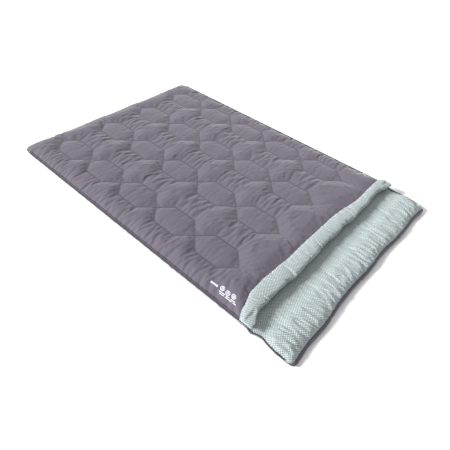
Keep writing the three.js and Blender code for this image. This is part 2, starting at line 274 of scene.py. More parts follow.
# ---- meshes ------------------------------------------------------------------------------------------
def grid_faces(nu, nv, wrap=False):
    """Quads of a grid of nu by nv points, where point (i, j) is number i nv + j. With wrap, the last
    column meets the first."""
    index = np.arange(nu * nv).reshape(nu, nv)
    if wrap:
        index = np.concatenate([index, index[:, :1]], axis=1)
    corners = [index[:-1, :-1], index[1:, :-1], index[1:, 1:], index[:-1, 1:]]
    return np.stack(corners, -1).reshape(-1, 4)


def make_piece(name, points, faces, uv=None, marks=None):
    """A mesh object from points and faces, with one uv pair and any named numbers for each point."""
    mesh = bpy.data.meshes.new(name)
    mesh.from_pydata(np.asarray(points, float).tolist(), [], [list(face) for face in faces])
    if uv is not None:
        corner = np.zeros(len(mesh.loops), int)
        mesh.loops.foreach_get("vertex_index", corner)
        layer = mesh.uv_layers.new(name="cloth")
        layer.data.foreach_set("uv", np.asarray(uv, np.float32)[corner].ravel())
    for key, values in (marks or {}).items():
        spot = mesh.attributes.new(key, "FLOAT", "POINT")
        spot.data.foreach_set("value", np.asarray(values, np.float32).ravel())
    mesh.polygons.foreach_set("use_smooth", np.full(len(mesh.polygons), True))
    mesh.update()
    piece = bpy.data.objects.new(name, mesh)
    bpy.context.scene.collection.objects.link(piece)
    return piece


def middle_and_half(low, high):
    """A box's middle and half its size, from its two corners."""
    low, high = np.array(low), np.array(high)
    return (low + high) / 2, (high - low) / 2


def walked(P):
    """Metres walked along the grid's two middle lines from the first point, for each point."""
    across, along = P[:, P.shape[1] // 2], P[P.shape[0] // 2, :]
    u = np.concatenate([[0], np.cumsum(np.linalg.norm(np.diff(across, axis=0), axis=1))])
    v = np.concatenate([[0], np.cumsum(np.linalg.norm(np.diff(along, axis=0), axis=1))])
    return np.stack(np.meshgrid(u, v, indexing="ij"), -1)


def make_surface(name, P, flip=False, wrap=False, marks=None):
    """A surface from a grid of points P[i, j]. Its faces point along di x dj, or the other way when
    flipped. Its uv is the distance walked over the cloth, in metres."""
    faces = grid_faces(P.shape[0], P.shape[1], wrap)
    if flip:
        faces = faces[:, ::-1]
    flat_marks = {key: np.broadcast_to(value, P.shape[:2]).ravel() for key, value in (marks or {}).items()}
    return make_piece(name, P.reshape(-1, 3), faces, walked(P).reshape(-1, 2), flat_marks)


def normals(P):
    """Unit normals of a grid of points: the cross product of its two slopes."""
    cross = np.cross(np.gradient(P, axis=0), np.gradient(P, axis=1))
    return cross / np.maximum(np.linalg.norm(cross, axis=-1, keepdims=True), 1e-12)


CLOTH_MASS, CLOTH_DAMPING, FRAMES = 0.15, 2.0, 12
FIRM, SUPPLE = 2.0, 0.5  # bending stiffness of the shell and of the linings


def sewn_rim(P):
    """True for the points on a grid's border, where cloth is sewn down."""
    border = np.ones(P.shape[:2], bool)
    border[1:-1, 1:-1] = False
    return border


def settle(P, pinned, hold, grow_open, grow_held, pressure, cap, bending):
    """Blows up a sheet of cloth between its sewn points. The cloth is cut larger than the space it is
    sewn into, by grow_held where hold is 1 and grow_open where it is 0, so it swells and puckers. No
    point ends further than cap from its start. P is the grid of points, pinned and hold are over it."""
    count = P.shape[0] * P.shape[1]
    sheet = make_piece("settling", P.reshape(-1, 3), grid_faces(P.shape[0], P.shape[1]))
    sewn = sheet.vertex_groups.new(name="sewn")
    sewn.add([int(i) for i in np.flatnonzero(pinned.ravel())], 1.0, "REPLACE")
    held = sheet.vertex_groups.new(name="held")
    held.add([int(i) for i in np.flatnonzero(hold.ravel() > 0.5)], 1.0, "REPLACE")
    cloth = sheet.modifiers.new("cloth", "CLOTH")
    settings = cloth.settings
    settings.quality = 4
    settings.mass = CLOTH_MASS
    settings.air_damping = CLOTH_DAMPING
    settings.bending_stiffness = bending
    settings.use_pressure = True
    settings.uniform_pressure_force = pressure
    settings.shrink_min = -grow_open
    settings.shrink_max = -grow_held
    settings.vertex_group_shrink = "held"
    settings.vertex_group_mass = "sewn"
    settings.effector_weights.gravity = 0
    cloth.point_cache.frame_start = 1
    cloth.point_cache.frame_end = FRAMES
    for number in range(1, FRAMES + 1):
        bpy.context.scene.frame_set(number)
    shown = sheet.evaluated_get(bpy.context.evaluated_depsgraph_get())
    after = np.empty(count * 3)
    shown.data.vertices.foreach_get("co", after)
    move = after.reshape(P.shape) - P
    bpy.data.objects.remove(sheet)
    bpy.context.scene.frame_set(1)
    far = np.linalg.norm(move, axis=-1, keepdims=True)
    return P + move * np.minimum(1, cap / np.maximum(far, 1e-9))


def give_wall(piece, thickness, offset=-1.0):
    """Thickens a sheet: inwards, or with an offset of 0 to both sides."""
    wall = piece.modifiers.new("wall", "SOLIDIFY")
    wall.thickness = thickness
    wall.offset = offset


def place(piece, body, slot, nodes, material):
    """Puts a finished piece on its body, in place of its CAD nodes, with its material. The slot is not used.
    """
    piece.data.materials.clear()
    piece.data.materials.append(material)
    if body:
        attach(piece, body)
    if nodes:
        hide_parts(*nodes)


# ---- materials ---------------------------------------------------------------------------------------
def linear(red, green, blue):
    """A colour given in the 0 to 255 steps of a colour card, as the linear values that shaders take."""
    steps = np.array([red, green, blue]) / 255
    light = np.where(steps <= 0.04045, steps / 12.92, ((steps + 0.055) / 1.055) ** 2.4)
    return (*[float(v) for v in light], 1.0)


def node(tree, kind, inputs=None, **settings):
    """A new node with its settings, and with its inputs set to values or joined to other sockets."""
    made = tree.nodes.new(kind)
    for key, value in settings.items():
        setattr(made, key, value)
    for key, value in (inputs or {}).items():
        if isinstance(value, bpy.types.NodeSocket):
            tree.links.new(value, made.inputs[key])
        else:
            made.inputs[key].default_value = value
    return made


def math_node(tree, operation, first, second=None, third=None):
    """A Math node's output."""
    given = {0: first}
    if second is not None:
        given[1] = second
    if third is not None:
        given[2] = third
    return node(tree, "ShaderNodeMath", given, operation=operation).outputs[0]


def mix_colour(tree, factor, first, second, blend="MIX"):
    """A colour Mix node's output."""
    mixer = node(tree, "ShaderNodeMix", data_type="RGBA", blend_type=blend)
    for key, value in ((0, factor), (6, first), (7, second)):
        if isinstance(value, bpy.types.NodeSocket):
            tree.links.new(value, mixer.inputs[key])
        else:
            mixer.inputs[key].default_value = value
    return mixer.outputs[2]


def new_group(name, inputs, outputs):
    """An empty shader node group with named inputs and outputs; returns it and its two end nodes."""
    group = bpy.data.node_groups.new(name, "ShaderNodeTree")
    for key, kind, value in inputs:
        socket = group.interface.new_socket(name=key, in_out="INPUT", socket_type=kind)
        if value is not None:
            socket.default_value = value
    for key, kind in outputs:
        group.interface.new_socket(name=key, in_out="OUTPUT", socket_type=kind)
    return group, group.nodes.new("NodeGroupInput"), group.nodes.new("NodeGroupOutput")


VALUE, VECTOR = "NodeSocketFloat", "NodeSocketVector"


def mottle_group():
    """Cloudy unevenness: broad noise and fine noise added, from 0 to 1 about a half."""
    inputs = [("Vector", VECTOR, None), ("Broad", VALUE, 5.0), ("Fine", VALUE, 60.0),
              ("Fine Share", VALUE, 0.3)]
    group, start, end = new_group("cloth mottle", inputs, [("Mask", VALUE)])
    broad = node(group, "ShaderNodeTexNoise", {"Vector": start.outputs["Vector"],
                                               "Scale": start.outputs["Broad"], "Detail": 3.0})
    fine = node(group, "ShaderNodeTexNoise", {"Vector": start.outputs["Vector"],
                                              "Scale": start.outputs["Fine"], "Detail": 2.0})
    mixed = node(group, "ShaderNodeMix", {0: start.outputs["Fine Share"], 2: broad.outputs[0],
                                          3: fine.outputs[0]})
    group.links.new(mixed.outputs[0], end.inputs["Mask"])
    return group


def weave_group():
    """Plain weave: two sets of round threads crossing, each over one and under the next. The height is
    sin^2 along one thread times cos^2 of the other's, with a little noise for uneven yarn."""
    inputs = [("Vector", VECTOR, None), ("Threads", VALUE, 1200.0), ("Uneven", VALUE, 0.3)]
    group, start, end = new_group("plain weave", inputs, [("Height", VALUE), ("Shade", VALUE)])
    split = node(group, "ShaderNodeSeparateXYZ", {0: start.outputs["Vector"]})
    waves = []
    for axis in (0, 1):
        turned = math_node(group, "MULTIPLY", split.outputs[axis], start.outputs["Threads"])
        waves.append(math_node(group, "SINE", turned))
    crossed = math_node(group, "MULTIPLY", waves[0], waves[1])
    yarn = node(group, "ShaderNodeTexNoise", {"Vector": start.outputs["Vector"], "Scale": 420.0,
                                              "Detail": 2.0})
    loose = math_node(group, "MULTIPLY", yarn.outputs[0], start.outputs["Uneven"])
    height = math_node(group, "MULTIPLY_ADD", crossed, 0.5, loose)
    group.links.new(height, end.inputs["Height"])
    group.links.new(math_node(group, "MULTIPLY_ADD", height, 0.5, 0.5), end.inputs["Shade"])
    return group


def dots_group():
    """A print of round dots on a diagonal lattice: two square lattices, one half a step along and across
    from the other. The mask is 1 in a dot and falls to 0 over its soft edge."""
    inputs = [("Vector", VECTOR, None), ("Pitch", VALUE, 0.01), ("Radius", VALUE, 0.17)]
    group, start, end = new_group("printed dots", inputs, [("Mask", VALUE)])
    per_step = math_node(group, "DIVIDE", 1.0, start.outputs["Pitch"])
    scaled = node(group, "ShaderNodeVectorMath", {0: start.outputs["Vector"], 3: per_step}, operation="SCALE")
    masks = []
    for shift in (0.0, 0.5):
        moved = node(group, "ShaderNodeVectorMath", {0: scaled.outputs[0], 1: (shift, shift, 0.0)})
        part = node(group, "ShaderNodeVectorMath", {0: moved.outputs[0]}, operation="FRACTION")
        middle = node(group, "ShaderNodeVectorMath", {0: part.outputs[0], 1: (0.5, 0.5, 0.0)},
                      operation="SUBTRACT")
        flat = node(group, "ShaderNodeVectorMath", {0: middle.outputs[0], 1: (1.0, 1.0, 0.0)},
                    operation="MULTIPLY")
        far = node(group, "ShaderNodeVectorMath", {0: flat.outputs[0]}, operation="LENGTH")
        past = math_node(group, "SUBTRACT", start.outputs["Radius"], far.outputs["Value"])
        masks.append(math_node(group, "MULTIPLY", past, 14.0))
    both = math_node(group, "MAXIMUM", masks[0], masks[1])
    soft = node(group, "ShaderNodeClamp", {0: both})
    group.links.new(soft.outputs[0], end.inputs["Mask"])
    return group


MOTTLE = mottle_group()
WEAVE = weave_group()
DOTS = dots_group()


def use_group(tree, group, **inputs):
    """A copy of a node group in a material, with its named inputs set or joined."""
    made = tree.nodes.new("ShaderNodeGroup")
    made.node_tree = group
    for key, value in inputs.items():
        socket = made.inputs[key.replace("_", " ")]
        if isinstance(value, bpy.types.NodeSocket):
            tree.links.new(value, socket)
        else:
            socket.default_value = value
    return made


def new_material(name, roughness=0.8, metallic=0.0, sheen=0.0, specular=0.3):
    """A material with its Principled shader; uniform values go on the shader's own sockets."""
    material = bpy.data.materials.new(name)
    material.use_nodes = True
    shader = material.node_tree.nodes["Principled BSDF"]
    shader.inputs["Roughness"].default_value = roughness
    shader.inputs["Metallic"].default_value = metallic
    shader.inputs["Sheen Weight"].default_value = sheen
    shader.inputs["Sheen Roughness"].default_value = 0.5
    shader.inputs["Specular IOR Level"].default_value = specular
    return material, material.node_tree, shader


def add_bump(tree, shader, heights):
    """Bump nodes in a chain, one for each (height, strength, distance), ending in the shader's normal."""
    last = None
    for height, strength, distance in heights:
        given = {"Height": height, "Strength": strength, "Distance": distance}
        if last is not None:
            given["Normal"] = last
        last = node(tree, "ShaderNodeBump", given).outputs["Normal"]
    tree.links.new(last, shader.inputs["Normal"])


def cloth_vectors(tree):
    """The two things cloth patterns read: the cloth's own uv in metres, and the place on the object."""
    given = node(tree, "ShaderNodeTexCoord")
    return given.outputs["UV"], given.outputs["Object"]


def drifting(name, shades, broad, fine, fine_share, rough=None, **finish):
    """A material whose colour drifts between two shades. Where rough gives a gain and a least value, its
    roughness drifts too. Returns the material, its tree, its shader and the place on the object."""
    material, tree, shader = new_material(name, **finish)
    spot = cloth_vectors(tree)[1]
    cloud = use_group(tree, MOTTLE, Vector=spot, Broad=broad, Fine=fine, Fine_Share=fine_share)
    tree.links.new(mix_colour(tree, cloud.outputs[0], *shades), shader.inputs["Base Color"])
    if rough:
        tree.links.new(math_node(tree, "MULTIPLY_ADD", cloud.outputs[0], *rough), shader.inputs["Roughness"])
    return material, tree, shader, spot


def shell_material():
    """Brushed microfibre, mauve grey: cloudy nap, fine fuzz, and painted shade in the stitched grooves."""
    material, tree, shader = new_material("shell microfibre", roughness=0.78, sheen=0.25, specular=0.22)
    uv, spot = cloth_vectors(tree)
    cloud = use_group(tree, MOTTLE, Vector=spot, Broad=4.5, Fine=45.0, Fine_Share=0.35)
    base = mix_colour(tree, cloud.outputs[0], *SHELL_SHADES)
    # painted shade: the groove mark darkens the shell along the stitched grooves
    groove = node(tree, "ShaderNodeAttribute", attribute_name="groove")
    groove_shade_share = math_node(tree, "MULTIPLY", groove.outputs["Fac"], 0.6)
    shaded = mix_colour(tree, groove_shade_share, base, SHELL_GROOVE_SHADE)
    tree.links.new(shaded, shader.inputs["Base Color"])
    fuzz = node(tree, "ShaderNodeTexNoise", {"Vector": spot, "Scale": 700.0, "Detail": 3.0})
    crumple = node(tree, "ShaderNodeTexNoise", {"Vector": spot, "Scale": 38.0, "Detail": 2.0,
                                                "Distortion": 0.8})
    rough = math_node(tree, "MULTIPLY_ADD", cloud.outputs[0], 0.2, 0.68)
    tree.links.new(rough, shader.inputs["Roughness"])
    weave = use_group(tree, WEAVE, Vector=uv, Threads=2600.0, Uneven=0.5)
    add_bump(tree, shader, [(crumple.outputs[0], 0.25, 0.004), (fuzz.outputs[0], 0.25, 0.0008),
                            (weave.outputs["Height"], 0.15, 0.0003)])
    return material


def lining_material():
    """Soft pale sage cloth printed with small white dots, a little uneven in tone."""
    material, tree, shader = new_material("lining print", roughness=0.8, sheen=0.2, specular=0.25)
    uv, spot = cloth_vectors(tree)
    cloud = use_group(tree, MOTTLE, Vector=spot, Broad=6.0, Fine=130.0, Fine_Share=0.5)
    ground = mix_colour(tree, cloud.outputs[0], *LINING_SHADES)
    dots = use_group(tree, DOTS, Vector=uv, Pitch=0.0112, Radius=0.20)
    strong = math_node(tree, "MULTIPLY", dots.outputs[0], 0.8)
    printed = mix_colour(tree, strong, ground, LINING_DOT)
    tree.links.new(printed, shader.inputs["Base Color"])
    weave = use_group(tree, WEAVE, Vector=uv, Threads=2200.0, Uneven=0.6)
    fuzz = node(tree, "ShaderNodeTexNoise", {"Vector": spot, "Scale": 60.0, "Detail": 3.0, "Distortion": 0.6})
    add_bump(tree, shader, [(fuzz.outputs[0], 0.25, 0.003), (weave.outputs["Height"], 0.2, 0.0003)])
    return material


def tape_material():
    """Woven zip tape: dark plum grey with fine ribs along it."""
    material, tree, shader, _ = drifting("zip tape", TAPE_SHADES, 20.0, 300.0, 0.5, roughness=0.7, sheen=0.1,
                                         specular=0.3)
    uv = cloth_vectors(tree)[0]
    split = node(tree, "ShaderNodeSeparateXYZ", {0: uv})
    ribs = math_node(tree, "SINE", math_node(tree, "MULTIPLY", split.outputs[1], 5200.0))
    weave = use_group(tree, WEAVE, Vector=uv, Threads=3800.0, Uneven=0.4)
    add_bump(tree, shader, [(ribs, 0.5, 0.0003), (weave.outputs["Height"], 0.3, 0.0003)])
    return material


def coil_material():
    """Satin nylon coil with a faint unevenness."""
    return drifting("zip coil nylon", COIL_SHADES, 40.0, 500.0, 0.4, (0.2, 0.32), roughness=0.42,
                    specular=0.5)[0]


def metal_material():
    """Satin nickel plate, brushed and a little rubbed."""
    material, tree, shader, spot = drifting("zip nickel", METAL_SHADES, 90.0, 900.0, 0.4, (0.35, 0.2),
                                            roughness=0.35, metallic=1.0, specular=0.5)
    scratch = node(tree, "ShaderNodeTexNoise", {"Vector": spot, "Scale": 1400.0, "Detail": 2.0})
    add_bump(tree, shader, [(scratch.outputs[0], 0.15, 0.0002)])
    return material


def thread_material():
    """Twisted sewing thread, a shade darker than the shell."""
    return drifting("sewing thread", THREAD_SHADES, 60.0, 700.0, 0.5, roughness=0.6, specular=0.35)[0]


def label_material():
    """White woven label cloth, with fine ribs."""
    material, tree, shader, spot = drifting("woven label", LABEL_SHADES, 30.0, 600.0, 0.5, roughness=0.65,
                                            specular=0.3)
    weave = use_group(tree, WEAVE, Vector=spot, Threads=4200.0, Uneven=0.3)
    add_bump(tree, shader, [(weave.outputs["Height"], 0.3, 0.0003)])
    return material


def print_material():
    """Pale screen print: the ink is thinner in places, where the cloth's colour comes through."""
    return drifting("screen print", PRINT_SHADES, 120.0, 900.0, 0.6, roughness=0.6, specular=0.3)[0]


def filling_material():
    """White fibre filling: soft, with a tangle of fine fibres."""
    material, tree, shader = new_material("fibre filling", roughness=0.95, sheen=0.3, specular=0.1)
    spot = node(tree, "ShaderNodeTexCoord").outputs["Object"]
    tangle = node(tree, "ShaderNodeTexNoise", {"Vector": spot, "Scale": 90.0, "Detail": 6.0,
                                               "Distortion": 2.5})
    tree.links.new(mix_colour(tree, tangle.outputs[0], *FIBRE_SHADES), shader.inputs["Base Color"])
    add_bump(tree, shader, [(tangle.outputs[0], 0.6, 0.004)])
    return material


# each finish's darker and lighter shade
# the shell's groove colour is painted shade for the stitched grooves
SHELL_SHADES, SHELL_GROOVE_SHADE = (linear(84, 78, 89), linear(100, 94, 106)), linear(44, 40, 48)
LINING_SHADES, LINING_DOT = (linear(117, 130, 132), linear(139, 151, 153)), linear(240, 245, 245)
TAPE_SHADES = linear(56, 49, 60), linear(76, 68, 80)
COIL_SHADES = linear(50, 45, 56), linear(72, 65, 77)
METAL_SHADES = linear(140, 142, 147), linear(196, 198, 202)
THREAD_SHADES = linear(66, 61, 71), linear(88, 82, 94)
LABEL_SHADES = linear(214, 214, 216), linear(240, 240, 241)
PRINT_SHADES = linear(186, 183, 192), linear(236, 236, 240)
FIBRE_SHADES = linear(222, 221, 216), linear(247, 246, 242)
FLOOR_SHADES = linear(247, 247, 247), linear(251, 251, 251)

shell_cloth = shell_material()
lining_cloth = lining_material()
tape_cloth = tape_material()
coil_nylon = coil_material()
nickel = metal_material()
thread = thread_material()
label_cloth = label_material()
print_ink = print_material()
fibre = filling_material()


# ---- top layer's shell -------------------------------------------------------------------------------
def top_shell_points():
    """The quilted shell: a pillow whose height is the hem plus the loft times a share that rounds down at
    the foot and the long sides; stitched down along the quilting, and blown up between the stitches. Past
    its border its edge dips under the cuff and runs level to the fold."""
    across, side_share = edge_run(-HEM_Y, HEM_Y, HEM_Y - SIDE_FLAT, HEM_Y - SIDE_FLAT, CELL, LINE_LOFT)
    along, foot_share = edge_run(FOOT_X, BORDER_X, FOOT_FLAT - FOOT_X, 0.0, CELL, LINE_LOFT)
    X, Y = np.meshgrid(along, across, indexing="ij")
    share = foot_share[:, None] * side_share[None, :]
    gap = stitch_distance(X, Y)
    inside = inside_hexagon(X, Y)
    pinned = sewn_rim(X) | (gap < 0.3 * CELL)
    hem = TOP_HEM_Z - 0.0045 * (1 - ramp(X, FOOT_X, FOOT_X + 0.09))
    lift = 0.0075 * ramp(X, 0.60, BORDER_X)
    Z = hem + (LINE_LOFT + lift) * share
    loose = np.clip(gap / 0.03, 0, 1) * share
    Z = Z + loose * (1 - inside) * 0.0012 * ripple(X, Y, 0.035, 11, stretch_y=2.5)
    slack = creases(X, Y, SLACK_FOLDS, 12, (FOOT_X, -0.64), (0.72, 0.64), 0.11, 0.0075, 1.15, 0.6)
    Z = Z + loose * (1 - 0.8 * inside) * SLACK_HEIGHT * slack
    edge_folds = 0.0
    for count, seed, low_y, high_y in EDGE_FOLDS:
        edge_folds = edge_folds + creases(X, Y, count, seed, (FOOT_X, low_y), (0.74, high_y), 0.15, 0.0065,
                                          1.5, 0.25)
    Z = Z + share * ramp(gap, 0.0, 0.03) * EDGE_FOLD_HEIGHT * edge_folds
    Z = Z + loose * 0.0004 * np.random.default_rng(4).standard_normal(X.shape)
    plan_x, plan_y = round_corners(X, Y, FOOT_X, FAR_AWAY, HEM_Y, FOOT_CORNER, 0.0)
    P = np.stack([plan_x, plan_y, Z], -1)
    P = settle(P, pinned, inside, SHELL_EXCESS, HEXAGON_EXCESS, SHELL_PRESSURE, SHELL_CAP, FIRM)
    P[..., 0] = np.maximum(P[..., 0], FOOT_X - 0.0006)
    P[..., 1] = np.clip(P[..., 1], -HEM_Y - 0.005, HEM_Y + 0.005)
    P[..., 2] = np.minimum(np.maximum(P[..., 2], np.minimum(hem, Z)), QUILT_TOP)
    P[..., 0] += (cuff_border(P[..., 1]) - BORDER_X) * ramp(X, 0.56, BORDER_X)
    s = np.linspace(0, 1, 16)[1:, None]
    edge = P[-1][None]
    level = TOP_HEM_Z + (HEM_UNDER_CUFF - TOP_HEM_Z) * side_share[None, :]
    tuck_x = edge[..., 0] + (cuff_front(edge[..., 1]) - 0.003 - edge[..., 0]) * s
    tuck_z = level + (edge[..., 2] - level) * (1 - ramp(s, 0.0, 0.2))
    tuck = np.stack([tuck_x, np.broadcast_to(edge[..., 1], tuck_x.shape), tuck_z], -1)
    # mark of painted shade along the stitch lines, read by the shell's material
    groove = np.concatenate([bump(gap, 0.0, GROOVE_SHADE_WIDTH), np.zeros(tuck_x.shape)])
    return np.concatenate([P, tuck]), along, across, groove


def on_shell(x, y, lift=0.0):
    """Points on the top's finished shell for cloth places x and y: read between its rows and columns, and
    moved out along its normal by the lift. Returns them with their normals."""
    i = np.interp(x, top_along, np.arange(len(top_along)))
    j = np.interp(y, top_across, np.arange(len(top_across)))
    i0, j0 = np.minimum(i.astype(int), top_P.shape[0] - 2), np.minimum(j.astype(int), top_P.shape[1] - 2)
    fi, fj = (i - i0)[..., None], (j - j0)[..., None]
    read = []
    for A in (top_P, top_N):
        low = A[i0, j0] * (1 - fj) + A[i0, j0 + 1] * fj
        high = A[i0 + 1, j0] * (1 - fj) + A[i0 + 1, j0 + 1] * fj
        read.append(low * (1 - fi) + high * fi)
    return read[0] + lift * read[1], read[1]


FOOT_FLAT = FIRST_X - FOOT_ROUND
SHELL_EXCESS, HEXAGON_EXCESS, SHELL_PRESSURE, SHELL_CAP = 0.024, 0.012, 5.0, 0.024
SLACK_FOLDS, SLACK_HEIGHT = 420, 0.0036  # between the hexagons
EDGE_FOLDS = ((150, 13, -0.74, -0.60), (120, 14, 0.60, 0.74))  # count, seed and places, near and far
EDGE_FOLD_HEIGHT = 0.0024
# width of the painted shade along the stitch lines
GROOVE_SHADE_WIDTH = 0.0036

top_P, top_along, top_across, top_groove_shade = top_shell_points()
top_N = normals(top_P)
top_shell = make_surface("top_shell_cloth", top_P, marks={"groove": top_groove_shade})
place(top_shell, "top", "shell", ["top_shell"], shell_cloth)


# ---- cuff --------------------------------------------------------------------------------------------
ROLL_UPPER, ROLL_LOWER = 2 / 1.95, 2 / 2.35  # powers of the roll's section: rounder above, squarer below
CUFF_FOLDS, CUFF_FOLD_HEIGHT = 90, 0.0044
CUFF_EXCESS, CUFF_PRESSURE, CUFF_CAP = 0.055, 4.0, 0.010
CREST_FROM = 0.0955  # the roll is flattened above this height


def cuff_section(y, share):
    """The roll's section at each y, from its sewn edge over the crest and round the front to the underside:
    a superellipse whose half width follows the cuff's two edges and whose upper half sinks at the ends.
    Returns points [i, j] for angle i and place j."""
    angle = np.radians(np.linspace(ROLL_FROM, ROLL_TO, 34))[:, None]
    c, s = np.cos(angle), np.sin(angle)
    power = np.where(s > 0, ROLL_UPPER, ROLL_LOWER)
    back = abs(math.cos(math.radians(ROLL_FROM))) ** ROLL_UPPER
    start, front = cuff_border(y) + 0.0005, cuff_front(y)
    half = (front - start) / (1 + back)
    upper = (CUFF_END_Z - CUFF_MIDDLE_Z) + (CUFF_CREST - CUFF_END_Z) * share
    lower = CUFF_MIDDLE_Z - FOLD_LOW - 0.001 * (1 - share)
    x = front - half + half * blunt(c, power)
    z = CUFF_MIDDLE_Z + np.where(s > 0, upper, lower) * blunt(s, power)
    forward = np.clip((x - start) / (front - start), 0, 1)
    x = x + cuff_flare(y) * forward * ramp(z, CUFF_MIDDLE_Z - 0.0035, CUFF_MIDDLE_Z - 0.0005)
    return np.stack([x, np.broadcast_to(y, x.shape), z], -1)


def cuff_points():
    """The lining of the turned-back head end, blown up and puckered across its length."""
    y, share = edge_run(-HEM_Y, HEM_Y, 0.075, 0.075, 0.005, 0.02)
    P = cuff_section(y, share)
    round_way = walked(P)[..., 0]
    middle = np.sin(np.linspace(0, math.pi, P.shape[0]))[:, None] * share
    folds = creases(round_way, P[..., 1], CUFF_FOLDS, 21, (0.0, -0.74), (0.12, 0.74), 0.09, 0.006, 0.35, 0.5)
    P = P + normals(P) * (middle * CUFF_FOLD_HEIGHT * folds)[..., None]
    P = settle(P, sewn_rim(P), np.zeros(P.shape[:2]), CUFF_EXCESS, CUFF_EXCESS, CUFF_PRESSURE,
               CUFF_CAP, SUPPLE)
    P[..., 2] = np.maximum(P[..., 2], FOLD_LOW - 0.0008)
    P[..., 2] = np.where(P[..., 2] > CREST_FROM, CREST_FROM + 0.40 * (P[..., 2] - CREST_FROM), P[..., 2])
    P[..., 1] += end_bulge(P[..., 1])
    return clear_of_fold(P), y, share


def end_bulge(y):
    """How far the cuff's ends swell out past the zips: the near end hangs over, the far end is tucked in."""
    return 0.001 * ramp(y, 0.67, HEM_Y) - 0.015 * ramp(-y, 0.67, HEM_Y)


def clear_of_fold(P):
    """Keeps the fold's front past the hinge, so that no point of it rises over the opened cuff, and near
    enough to it that none swings down into the zips. With the cuff open, a point has turned by w times
    the cuff's full turn, where w is the smooth share of its height in the blend. It must then lie between
    1.2 and 17 mm below the hinge. The roll's ends are kept lower too, as they come down over the zips."""
    height = P[..., 2] - FOLD_Z
    share = ramp(P[..., 2], BEND_START_Z, BEND_END_Z)
    turn = share * CUFF_TURN
    caught = (share > 0.03) & (share < 0.985) & (P[..., 0] > FOLD_X - 0.02)
    swing = np.maximum(np.sin(turn), 0.05)
    least = FOLD_X + (height * np.cos(turn) + 0.0012) / swing
    most = FOLD_X + (height * np.cos(turn) + 0.0170) / swing
    P[..., 0] = np.where(caught, np.clip(P[..., 0], least, most), P[..., 0])
    over_zip = ramp(np.abs(P[..., 1]), 0.66, 0.695) * ramp(P[..., 0], FOLD_X - 0.012, FOLD_X - 0.002)
    P[..., 2] -= 0.6 * over_zip * np.maximum(P[..., 2] - 0.0840, 0.0)
    return P


def cuff_underside(y, share):
    """The shell side of the cuff: down from its sewn edge and level over the hem below, to the fold."""
    s = np.linspace(0, 1, 20)[:, None]
    start, front = cuff_border(y) + 0.0005, cuff_front(y) - 0.003
    level = CUFF_LOW + 0.0004 + 0.002 * (1 - share)
    edge = cuff_section(y, share)[0, :, 2]
    z = level + (edge - level) * (1 - ramp(s, 0.0, 0.14))
    x = start + (front - start) * s
    return np.stack([x, np.broadcast_to(y + end_bulge(y), x.shape), z], -1)


def cuff_end_tape(side):
    """The zip tape that closes one end of the cuff: from the end of the lining inwards across the section's
    end by a share of the way to its middle, standing out a little."""
    ends = cuff_section(np.array([side * HEM_Y]), np.array([0.0]))[:, 0]
    middle = ends.mean(0)
    inward = np.array([0.0, 0.25, 0.55, 0.9])[None, :, None]
    out = np.array([0.0, 0.0016, 0.0012, -0.001])[None, :] * side
    P = ends[:, None] + (middle - ends[:, None]) * inward
    P[..., 1] += out + end_bulge(side * HEM_Y)
    return P


cuff_P, cuff_y, cuff_share = cuff_points()
cuff_lining = make_surface("cuff_lining_cloth", cuff_P)
place(cuff_lining, None, "lining", ["cuff_lining"], lining_cloth)
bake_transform(cuff_lining)

under_P = cuff_underside(cuff_y[::2], cuff_share[::2])
cuff_shell = make_surface("cuff_shell_cloth", under_P, flip=True, marks={"groove": np.zeros(1)})
place(cuff_shell, "cuff", "shell", ["cuff_shell"], shell_cloth)

for side, word in ((-1, "near"), (1, "far")):
    end_P = cuff_end_tape(side)
    cuff_tape = make_surface("cuff_end_tape_" + word, end_P, flip=side > 0)
    place(cuff_tape, None, "zip_tape", ["cuff_tape_" + word], tape_cloth)
    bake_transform(cuff_tape)


# ---- base layer --------------------------------------------------------------------------------------
def base_hem(x, y):
    """Height of the seam between the base's shell and lining: level beside the top layer, sagging to the
    head past the fold, rising to the foot seam, and wavy along the head edge."""
    sag = 0.0145 * ramp(x, 0.862, 1.07)
    foot = 0.0055 * (1 - ramp(x, FOOT_X, FOOT_X + 0.08))
    at_head = ramp(x, 1.0, 1.12)
    wave = 0.0035 * at_head * ripple(y, y * 0, 0.22, 31) + 0.005 * at_head * bump(y, -0.1, 0.3)
    return BASE_HEM_Z - sag + foot + wave


def base_edge_shift(x, y):
    """How far the base's outline strays from straight: along x at the head edge, along y beside it."""
    waist = 0.016 * bump(y, -0.15, 0.30) + 0.010 * bump(y, 0.27, 0.12)
    head = ramp(x, 0.98, 1.12) * (0.004 * ripple(y, y * 0, 0.24, 33) - waist - 0.012)
    out = 0.009 * bump(x, 0.885, 0.022) - 0.006 * bump(x, 0.945, 0.026) + 0.004 * ramp(x, 0.97, 1.03)
    far = (0.012 * bump(x, 1.02, 0.06) - 0.004 * bump(x, 0.90, 0.03)) * (y > 0)
    side = np.where(y > 0, far, out)
    return head, side * np.sign(y) * ramp(np.abs(y), 0.56, 0.73)


